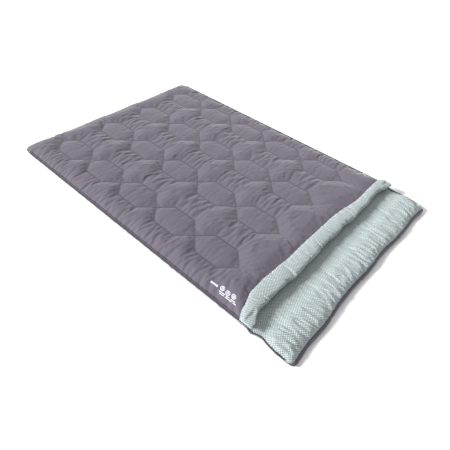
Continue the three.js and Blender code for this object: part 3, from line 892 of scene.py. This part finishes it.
def base_shell_points():
    """The base's outer cloth: a shallow tray. Its height is the hem's times one less the share, which is
    1 over the flat underside and falls to 0 over the rounded edges; lifted a little along the quilting."""
    across, side_share = edge_run(-HEM_Y, HEM_Y, 0.052, 0.052, 0.008, 0.045)
    along, long_share = edge_run(FOOT_X, HEAD_X, 0.045, 0.040, 0.008, 0.045)
    X, Y = np.meshgrid(along, across, indexing="ij")
    share = long_share[:, None] * side_share[None, :]
    plan_x, plan_y = round_corners(X, Y, FOOT_X, HEAD_X, HEM_Y, FOOT_CORNER, HEAD_CORNER)
    groove = bump(stitch_distance(X, Y), 0.0, 0.012)
    Z = base_hem(X, Y) * (1 - share) + 0.0006 + 0.003 * groove * share
    head, side = base_edge_shift(X, Y)
    P = np.stack([plan_x + head, plan_y + side, Z], -1)
    belly = (1 - share) * share * 4
    puff = belly * (0.0015 + 0.0012 * ripple(X, Y, 0.05, 35))
    P = P - normals(P) * puff[..., None]
    P[..., 0] += 0.019 * belly * ramp(X, HEAD_X - 0.05, HEAD_X - 0.004)
    P[..., 0] = np.maximum(P[..., 0], FOOT_X - 0.0006)
    P[..., 2] = np.maximum(P[..., 2], 0.0004)
    # the second value marks painted shade along the quilting on the flat underside
    return P, groove * (share > 0.9) * 0.8


def base_lining_points():
    """The base's inner cloth: nearly level, dimpled along the quilting. Past the fold it swells up, rounds
    down to the hem at the head edge, and puckers across, blown up between its seams."""
    across, side_share = edge_run(-HEM_Y + LINING_INSET, HEM_Y - LINING_INSET, 0.050, 0.050, 0.0055, 0.012)
    tail, tail_share = edge_run(BARE_FROM, HEAD_X - 0.0005, 0.0, 0.085, 0.0055, 0.026)
    front, front_share = edge_run(FOOT_X + LINING_INSET, BARE_FROM, 0.03, 0.0, 0.012, 0.01)
    along = np.concatenate([front[:-1], tail])
    long_share = np.concatenate([front_share[:-1], tail_share])
    X, Y = np.meshgrid(along, across, indexing="ij")
    share = long_share[:, None] * side_share[None, :]
    plan_x, plan_y = round_corners(X, Y, FOOT_X + LINING_INSET, HEAD_X - 0.0005, HEM_Y - LINING_INSET,
                                   FOOT_CORNER, HEAD_CORNER)
    groove = bump(stitch_distance(X, Y), 0.0, LINING_GROOVE)
    covered = 1 - ramp(X, 0.78, 0.86)
    level = BASE_TOP + 0.0002 - 0.0045 * groove - 0.001 * covered * (1 + ripple(X, Y, 0.06, 41))
    level = level + 0.009 * ramp(X, 0.93, 1.0)
    rim = base_hem(X, Y) + 0.0016
    Z = rim + (level - rim) * share
    bare = ramp(X, 0.835, 0.90)
    folds = creases(X, Y, BARE_FOLDS, 43, (0.84, -0.74), (HEAD_X, 0.74), 0.17, 0.008, 0.10, 0.35)
    Z = Z + bare * share * (BARE_FOLD_HEIGHT * folds - 0.0025 * (1 - ramp(X, 0.93, 0.99)))
    head, side = base_edge_shift(X, Y)
    P = np.stack([plan_x + head, plan_y + side, Z], -1)
    first = len(front) - 1
    block = P[first:]
    blown = settle(block, sewn_rim(block), np.zeros(block.shape[:2]), BARE_EXCESS, BARE_EXCESS,
                   BARE_PRESSURE, BARE_CAP, SUPPLE)
    rise = blown[..., 2] - block[..., 2]
    blown[..., 2] -= 0.85 * evened(rise, 12)
    P[first:] = block + (blown - block) * bare[first:, :, None]
    top = BASE_TOP - 0.0020 + 0.018 * ramp(P[..., 0], 0.940, 1.0)
    P[..., 2] = np.where(P[..., 2] > top, top + 0.2 * (P[..., 2] - top), P[..., 2])
    return P


BARE_FROM = 0.80  # the lining past here is blown up; it shows past the fold
BARE_EXCESS, BARE_PRESSURE, BARE_CAP = 0.050, 2.0, 0.012
BARE_FOLDS, BARE_FOLD_HEIGHT = 260, 0.0068
base_shell_P, base_groove_shade = base_shell_points()
base_shell = make_surface("base_shell_cloth", base_shell_P, flip=True, marks={"groove": base_groove_shade})
place(base_shell, "base", "shell", ["base_shell"], shell_cloth)

base_lining_P = base_lining_points()
base_lining = make_surface("base_lining_cloth", base_lining_P)
place(base_lining, "base", "lining", ["base_lining"], lining_cloth)


# ---- top layer's lining ------------------------------------------------------------------------------
def top_lining_points():
    """The top's inner cloth: nearly level, dimpled along the quilting, out to the fold's underside."""
    across, side_share = edge_run(-HEM_Y + LINING_INSET, HEM_Y - LINING_INSET, 0.040, 0.040, 0.010, 0.004)
    s = np.linspace(0, 1, 200)[:, None]
    Y = np.broadcast_to(across, (len(s), len(across)))
    X = FOOT_X + LINING_INSET + (cuff_section(across, side_share)[-1, :, 0] - FOOT_X - LINING_INSET) * s
    plan_x, plan_y = round_corners(X, Y, FOOT_X + LINING_INSET, FAR_AWAY, HEM_Y - LINING_INSET,
                                   FOOT_CORNER, 0.0)
    groove = bump(stitch_distance(X, Y), 0.0, LINING_GROOVE)
    end = FOLD_LOW + 0.0005
    soft = 0.0005 * (1 + ripple(X, Y, 0.06, 51)) * (1 - ramp(s, 0.9, 1.0))
    level = TOP_LOW - 0.0002 + 0.0045 * groove + soft + (end - TOP_LOW) * ramp(s, 0.96, 1.0)
    Z = level + 0.003 * (1 - side_share)
    return np.stack([plan_x, plan_y, Z], -1)


top_lining_P = top_lining_points()
top_lining = make_surface("top_lining_cloth", top_lining_P, flip=True)
place(top_lining, "top", "lining", ["top_lining"], lining_cloth)


# ---- fibre fillings ----------------------------------------------------------------------------------
BATT_POWER = 0.16  # a batt's plan: near 0 is a rectangle, 1 an ellipse


def batt(name, low, high, body, node_name):
    """A filling batt: a closed pad whose plan is a rounded rectangle and whose rim is half round. Each
    ring i stands in from the rim by a share of the half thickness, on the lower side and then the upper."""
    middle, half = middle_and_half(low, high)
    turn = np.linspace(0, 2 * math.pi, 160, endpoint=False)[None, :]
    tilt = np.linspace(-math.pi / 2, math.pi / 2, 21)[:, None]
    reach = np.clip(np.cos(tilt) * 3.0, 0, None) ** 0.5
    reach = np.minimum(reach / reach.max(), 1)
    x = middle[0] + half[0] * reach * blunt(np.cos(turn), BATT_POWER)
    y = middle[1] + half[1] * reach * blunt(np.sin(turn), BATT_POWER)
    z = middle[2] + half[2] * np.sin(tilt) * (1 + 0.06 * ripple(x, y, 0.2, 61))
    x[[0, -1]] = middle[0]
    y[[0, -1]] = middle[1]
    P = np.stack([x, y, z], -1)
    pad = make_surface(name, P, flip=True, wrap=True)
    merge_close(pad)
    place(pad, body, "filling", [node_name], fibre)


def merge_close(piece, gap=1e-6):
    """Welds points that lie together, and turns all faces out."""
    work = bmesh.new()
    work.from_mesh(piece.data)
    bmesh.ops.remove_doubles(work, verts=work.verts, dist=gap)
    bmesh.ops.recalc_face_normals(work, faces=work.faces)
    work.to_mesh(piece.data)
    work.free()


batt("base_filling_batt", (FOOT_X + 0.02, -0.700, 0.005), (HEAD_X - 0.07, 0.700, 0.036),
     "base", "base_filling")
batt("top_filling_batt", (FOOT_X + 0.06, -0.680, 0.0605), (CUFF_X - 0.02, 0.680, 0.0745),
     "top", "top_filling")
batt("cuff_filling_batt", (CUFF_X + 0.040, -0.660, 0.0765), (FOLD_X - 0.020, 0.660, 0.092),
     "cuff", "cuff_filling")


# ---- zips --------------------------------------------------------------------------------------------
def zip_sag(x):
    """How far the base's zip hangs below its level run, past the fold."""
    return 0.014 * ramp(x, FOLD_X + 0.012, 1.07)


def beside_base(x, side, follows_base):
    """How far a zip part swings out and hangs down at each x: with the base's edge, or not at all."""
    if not follows_base:
        return np.zeros(np.shape(x)), np.zeros(np.shape(x))
    return base_edge_shift(x, np.full(np.shape(x), side * HEM_Y))[1], zip_sag(x)


def tape_strip(name, side, low_x, high_x, low_z, high_z, follows_base, body, cad_node):
    """A strip of zip tape standing on its long edge: a grid of places along x and heights, given a wall."""
    x = np.linspace(low_x, high_x, round((high_x - low_x) / 0.01) + 1)[:, None]
    z = np.linspace(low_z, high_z, 5)[None, :]
    shift, sag = beside_base(x, side, follows_base)
    y = side * TAPE_Y + shift + 0 * z
    P = np.stack([x + 0 * z, y, z - sag], -1)
    strip = make_surface(name, P, flip=side > 0)
    give_wall(strip, TAPE_WALL, 0.0)
    place(strip, body, "zip_tape", [cad_node], tape_cloth)


def copies(points, faces, moves):
    """Many copies of a small shape in one mesh: its points plus each move, and its faces renumbered."""
    count = len(points)
    all_points = (points[None] + moves[:, None]).reshape(-1, 3)
    all_faces = [[v + k * count for v in face] for k in range(len(moves)) for face in faces]
    return all_points, all_faces


def tooth():
    """One turn of the coil: a six-sided bar standing across the tape's edge, leaning a little, with
    smaller ends. Rings of six points, from bottom to top, and a face on each end."""
    turn = np.linspace(0, 2 * math.pi, 6, endpoint=False)
    rings = []
    for height, size in TOOTH_RINGS:
        x = 0.00062 * size * np.cos(turn) + 0.25 * height
        y = 0.00115 * size * np.sin(turn)
        rings.append(np.stack([x, y, np.full(6, height)], -1))
    faces = [face[::-1] for face in grid_faces(4, 6, wrap=True).tolist()]
    faces += [[5, 4, 3, 2, 1, 0], [18, 19, 20, 21, 22, 23]]
    return np.concatenate(rings), faces


def coil_row(name, side, low_x, high_x, middle_z, follows_base, body, cad_node):
    """A row of coil turns along a tape's edge, one every pitch."""
    x = np.arange(low_x + 0.001, high_x - 0.0005, COIL_PITCH)
    shift, sag = beside_base(x, side, follows_base)
    y = side * (base_coil_low.y + base_coil_high.y) / 2 + shift
    points, faces = tooth()
    row = make_piece(name, *copies(points, faces, np.stack([x, y, middle_z - sag], -1)))
    merge_close(row)
    place(row, body, "zip_coil", [cad_node], coil_nylon)


def clamp(name, low, high, body, cad_node):
    """A zip's end clamp: a superellipsoid in its box, with closed ends."""
    middle, half = middle_and_half(low, high)
    turn = np.linspace(-math.pi, math.pi, 28, endpoint=False)[None, :]
    tilt = np.linspace(-math.pi / 2, math.pi / 2, 15)[:, None]
    ct, st = np.cos(tilt), np.sin(tilt)
    ca, sa = np.cos(turn), np.sin(turn)
    x = middle[0] + half[0] * blunt(st, CLAMP_POWER) + 0 * ca
    y = middle[1] + half[1] * blunt(ct, CLAMP_POWER) * blunt(ca, CLAMP_POWER)
    z = middle[2] + half[2] * blunt(ct, CLAMP_POWER) * blunt(sa, CLAMP_POWER)
    block = make_surface(name, np.stack([x, y, z], -1), wrap=True)
    merge_close(block)
    place(block, body, "zip_metal", [cad_node], nickel)


TAPE_WALL = 0.0008
CLAMP_POWER = 0.4
COIL_PITCH = 0.0020
TOOTH_RINGS = ((-0.00150, 0.65), (-0.00105, 1.0), (0.00105, 1.0), (0.00150, 0.65))  # height and size
COIL_MID = (base_coil_high.z + base_coil_low.z) / 2 + 0.0003
TOP_COIL_MID = (top_coil_high.z + top_coil_low.z) / 2 - 0.0003

for side, word in ((-1, "near"), (1, "far")):
    tape_strip("base_zip_tape_" + word, side, ZIP_FOOT_X, ZIP_HEAD_X, base_tape_low.z, TAPE_TOP, True,
               "base", "base_tape_" + word)
    tape_strip("top_zip_tape_" + word, side, top_tape_low.x, FOLD_X, top_tape_low.z, top_tape_high.z, False,
               "top", "top_tape_" + word)
    coil_row("base_zip_coil_" + word, side, base_coil_low.x, base_coil_high.x, COIL_MID, True,
             "base", "base_coil_" + word)
    coil_row("top_zip_coil_" + word, side, top_coil_low.x, top_coil_high.x, TOP_COIL_MID, False,
             "top", "top_coil_" + word)
    for stop, body in (("foot_stop_", "base"), ("head_stop_", "base"), ("top_stop_", "top")):
        low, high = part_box(stop + word)
        shift, sag = beside_base(low.x, side, stop == "head_stop_")
        low = (low.x, low.y - 0.0002 + shift, low.z - sag)
        high = (high.x, high.y + 0.0002 + shift, high.z - sag)
        clamp(stop + "clamp_" + word, low, high, body, stop + word)


# ---- sewing ------------------------------------------------------------------------------------------
def quilting_stitches():
    """A run of stitches down every quilting line: each a short four-sided thread from one needle hole to
    the next, standing up a little between them."""
    starts, ends = [], []
    for path in stitch_lines():
        step = np.linalg.norm(np.diff(path, axis=0), axis=1)
        reach = np.concatenate([[0], np.cumsum(step)])
        spot = np.arange(0.002, reach[-1] - STITCH_LONG, STITCH_PITCH)
        for shift, store in ((0.0, starts), (STITCH_LONG, ends)):
            xs = np.interp(spot + shift, reach, path[:, 0])
            ys = np.interp(spot + shift, reach, path[:, 1])
            store.append(np.stack([xs, ys], -1))
    start, end = np.concatenate(starts), np.concatenate(ends)
    rings = []
    for share, lift, thick in STITCH_RINGS:
        plan = start + (end - start) * share
        P, N = on_shell(plan[:, 0], plan[:, 1], lift + 0.0003)
        run = end - start
        side = np.stack([-run[:, 1], run[:, 0], 0 * run[:, 0]], -1)
        side /= np.linalg.norm(side, axis=1, keepdims=True)
        rings.append(np.stack([P + side * thick, P + N * thick, P - side * thick, P - N * thick], 1))
    points = np.stack(rings, 1).reshape(-1, 3)
    one = [face[::-1] for face in grid_faces(3, 4, wrap=True).tolist()]
    one += [[3, 2, 1, 0], [8, 9, 10, 11]]
    faces = [[v + 12 * k for v in face] for k in range(len(start)) for face in one]
    row = make_piece("quilting_stitches", points, faces)
    merge_close(row, 1e-7)
    row.data.materials.append(thread)
    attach(row, "top")


STITCH_LONG, STITCH_PITCH = 0.0050, 0.0078
STITCH_RINGS = ((0.0, 0.0, 0.00022), (0.5, 0.0004, 0.0004), (1.0, 0.0, 0.00022))  # place, height, radius
quilting_stitches()


# ---- print and labels --------------------------------------------------------------------------------
def strip_between(first, second, rows=3):
    """Plan points [i, j] of a flat strip: places along two lines, and rows from one to the other."""
    share = np.linspace(0, 1, rows)[None, :, None]
    return first[:, None] * (1 - share) + second[:, None] * share


def bar(x, y, long, wide):
    """Plan points of a printed bar with its middle at x, y."""
    along = np.linspace(-long / 2, long / 2, max(3, round(long / 0.003)))
    low = np.stack([x + along, np.full(len(along), y - wide / 2)], -1)
    high = np.stack([x + along, np.full(len(along), y + wide / 2)], -1)
    return strip_between(low, high)


def hexagon_ring(x, y, outer, inner):
    """Plan points of a printed hexagon outline: its corners, and points between them, at two radii."""
    turn = np.linspace(0, 2 * math.pi, 31)
    corner = np.floor(turn / (math.pi / 3) + 1e-9) * math.pi / 3
    share = (turn - corner) / (math.pi / 3)
    from_x, from_y = np.cos(corner), np.sin(corner)
    to_x, to_y = np.cos(corner + math.pi / 3), np.sin(corner + math.pi / 3)
    unit = np.stack([from_x + (to_x - from_x) * share, from_y + (to_y - from_y) * share], -1)
    middle = np.array([x, y])
    return strip_between(middle + unit * outer, middle + unit * inner)


def printed_mark():
    """The print: three hexagons in a row and short bars beside them, laid on the finished shell."""
    low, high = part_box("shell_print")
    x0, y0 = low.x, (low.y + high.y) / 2
    shapes = [bar(x0 + at, y0 + 0.004, long, wide) for at, long, wide in MARK_BARS]
    for k in range(3):
        for outer, inner in MARK_RINGS:
            shapes.append(hexagon_ring(x0 + 0.066 + 0.030 * k, y0 + 0.0095 - 0.003 * (k % 2), outer, inner))
    for start, long, row in MARK_LINES:
        shapes.append(bar(x0 + start + long / 2, y0 - 0.0085 - 0.0075 * row, long, 0.0036))
    points, faces, total = [], [], 0
    for plan in shapes:
        P, _ = on_shell(plan[..., 0], plan[..., 1], 0.0005)
        points.append(P.reshape(-1, 3))
        faces += (grid_faces(*plan.shape[:2]) + total).tolist()
        total += plan.shape[0] * plan.shape[1]
    mark = make_piece("shell_print_mark", np.concatenate(points), faces)
    turn_up(mark)
    place(mark, "top", "print", ["shell_print"], print_ink)


def turn_up(piece):
    """Turns every face of a nearly level mesh so that it points up."""
    work = bmesh.new()
    work.from_mesh(piece.data)
    work.normal_update()
    down = [face for face in work.faces if face.normal.z < 0]
    bmesh.ops.reverse_faces(work, faces=down)
    work.to_mesh(piece.data)
    work.free()


def side_tab():
    """The small white tab on the far edge of the shell."""
    low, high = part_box("side_label")
    x, y = np.meshgrid(np.linspace(low.x, high.x, 9), np.linspace(low.y, high.y, 7), indexing="ij")
    P, _ = on_shell(x, y, 0.0012)
    tab = make_surface("side_label_tab", P)
    turn_up(tab)
    give_wall(tab, SIDE_TAB_WALL)
    place(tab, "top", "label", ["side_label"], label_cloth)


def care_tab():
    """The care label, sewn at its foot edge and curling a little at its free end."""
    low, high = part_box("care_label")
    x, y = np.meshgrid(np.linspace(low.x, high.x, 13), np.linspace(low.y, high.y, 15), indexing="ij")
    curl = 0.0016 * ramp(x, low.x + 0.012, high.x) * (0.7 + 0.3 * np.cos(60 * y))
    tab = make_surface("care_label_tab", np.stack([x, y, low.z + 0.0006 + curl], -1))
    give_wall(tab, CARE_TAB_WALL)
    place(tab, "base", "label", ["care_label"], label_cloth)


SIDE_TAB_WALL, CARE_TAB_WALL = 0.0006, 0.0004
MARK_BARS = ((0.020, 0.036, 0.0065), (0.005, 0.008, 0.010), (0.038, 0.007, 0.010))  # place, length, width
MARK_RINGS = ((0.0125, 0.0092), (0.0060, 0.0030))  # outer and inner radius
MARK_LINES = ((0.058, 0.030, 0), (0.094, 0.018, 0), (0.118, 0.024, 0),
              (0.064, 0.022, 1), (0.092, 0.034, 1), (0.132, 0.016, 1))  # start, length, row
printed_mark()
side_tab()
care_tab()


# ---- foot piping and draught tubes -------------------------------------------------------------------
def tube(name, path, across, up, radii, sides, body, slot_name, nodes, material):
    """A closed tube along a path: at each point an ellipse of the two radii, laid out by two unit
    directions, with a point at each end."""
    turn = np.linspace(0, 2 * math.pi, sides, endpoint=False)
    c, s = np.cos(turn)[None, :, None], np.sin(turn)[None, :, None]
    wide, tall = radii[:, 0, None, None], radii[:, 1, None, None]
    P = path[:, None] + across[:, None] * c * wide + up[:, None] * s * tall
    P = np.concatenate([np.repeat(path[:1, None], sides, 1), P, np.repeat(path[-1:, None], sides, 1)])
    made = make_surface(name, P, wrap=True)
    merge_close(made)
    place(made, body, slot_name, nodes, material)


def foot_piping():
    """The piping in the foot seam: straight across the foot, and round both corners to the zips."""
    radius = (piping_high.z - piping_low.z) / 2
    x = (piping_low.x + piping_high.x) / 2 + 0.0005
    turn = np.linspace(0, math.pi / 2, 14)
    arc_x = x + FOOT_CORNER * (1 - np.cos(turn))
    arc_y = HEM_Y - FOOT_CORNER * (1 - np.sin(turn))
    middle = np.linspace(-HEM_Y + FOOT_CORNER, HEM_Y - FOOT_CORNER, 90)[1:-1]
    px = np.concatenate([arc_x[::-1], np.full(len(middle), x), arc_x])
    py = np.concatenate([-arc_y[::-1], middle, arc_y])
    path = np.stack([px, py, np.full(len(px), (piping_low.z + piping_high.z) / 2)], -1)
    run = np.gradient(path, axis=0)
    run /= np.linalg.norm(run, axis=1, keepdims=True)
    up = np.tile([0.0, 0.0, 1.0], (len(path), 1))
    end = np.clip(np.minimum(np.arange(len(path)), np.arange(len(path))[::-1]) / 3 + 0.5, 0, 1)
    radii = np.stack([radius * end, radius * end], -1)
    tube("foot_seam_piping", path, np.cross(run, up), up, radii, 14, "base", "zip_tape",
         ["foot_piping"], tape_cloth)


def draught_tube(side, word):
    """A soft padded tube beside the zip, gathered along its length."""
    low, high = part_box("draught_tube_" + word)
    x = np.linspace(low.x + 0.002, high.x - 0.002, 240)
    path = np.stack([x, np.full(len(x), (low.y + high.y) / 2), np.full(len(x), (low.z + high.z) / 2)], -1)
    across = np.tile([0.0, 1.0, 0.0], (len(x), 1))
    up = np.tile([0.0, 0.0, 1.0], (len(x), 1))
    end = np.clip(np.minimum(x - low.x, high.x - x) / 0.016, 0.05, 1) ** 0.5
    gather = 1 - 0.05 * (1 + ripple(x, 0 * x, 0.045, 71 + side))
    radii = np.stack([(high.y - low.y) / 2 * end * gather, (high.z - low.z) / 2 * end * gather], -1)
    tube("draught_tube_pad_" + word, path, across, up, radii, 20, "base", "lining",
         ["draught_tube_" + word], lining_cloth)


foot_piping()
for side, word in ((-1, "near"), (1, "far")):
    draught_tube(side, word)


# ---- pieces kept as they are -------------------------------------------------------------------------
def repaint(node_name, material):
    """A new finish on a piece whose own shape is kept."""
    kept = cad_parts[node_name]
    kept.data.materials.clear()
    kept.data.materials.append(material)


for word in ("near", "far"):
    repaint("zip_slider_" + word, nickel)
    repaint("zip_pull_" + word, nickel)
    repaint("hanging_loop_" + word, tape_cloth)


# ---- floor, light and camera -------------------------------------------------------------------------
def studio():
    """A pale floor, a broad key light from the near foot side, and soft light from all round."""
    scene = bpy.context.scene
    scene.view_settings.view_transform = "Standard"
    corners = [(-9, -9, -0.0004), (9, -9, -0.0004), (9, 9, -0.0004), (-9, 9, -0.0004)]
    floor = make_piece("floor", corners, [(0, 1, 2, 3)])
    floor.data.materials.append(drifting("studio floor", FLOOR_SHADES, 1.5, 20.0, 0.2, roughness=0.9,
                                         specular=0.1)[0])
    world = bpy.data.worlds.new("studio")
    world.use_nodes = True
    sky = world.node_tree.nodes["Background"]
    sky.inputs["Color"].default_value = (1.0, 1.0, 1.0, 1.0)
    sky.inputs["Strength"].default_value = SKY_STRENGTH
    scene.world = world
    for name, kind, spot, aim, size, power in LAMPS:
        lamp = bpy.data.lights.new(name, kind)
        if kind == "SUN":
            lamp.angle = math.radians(size)
        else:
            lamp.size = size
        lamp.energy = power
        holder = bpy.data.objects.new(name, lamp)
        scene.collection.objects.link(holder)
        holder.location = spot
        away = mathutils.Vector(spot) - mathutils.Vector(aim)
        holder.rotation_euler = away.to_track_quat("Z", "Y").to_euler()


def viewpoint():
    """The camera, over the near head corner and looking down at the quilt."""
    lens = bpy.data.cameras.new("camera")
    lens.lens = FOCAL_LENGTH
    lens.sensor_width = 36.0
    holder = bpy.data.objects.new("camera", lens)
    bpy.context.scene.collection.objects.link(holder)
    stand = mathutils.Matrix.Translation(CAMERA_PLACE)
    for degrees, axis in CAMERA_TURNS:
        stand = stand @ mathutils.Matrix.Rotation(math.radians(degrees), 4, axis)
    holder.matrix_world = stand
    bpy.context.scene.camera = holder


LAMPS = (  # name, kind, place, aim, size (degrees for the sun, metres for the area), power
    ("key light", "SUN", (-2.1, -2.6, 1.9), (0.1, 0.0, 0.05), 13.0, 5.9),
    ("fill light", "AREA", (-0.6, 2.6, 2.8), (0.2, 0.0, 0.05), 2.6, 14.0),
)
SKY_STRENGTH = 0.58
FOCAL_LENGTH = 31.6
CAMERA_PLACE = (1.360, -1.605, 1.656)
CAMERA_TURNS = ((38.33, "Z"), (45.65, "X"), (5.06, "Z"))  # degrees, in this order
studio()
viewpoint()
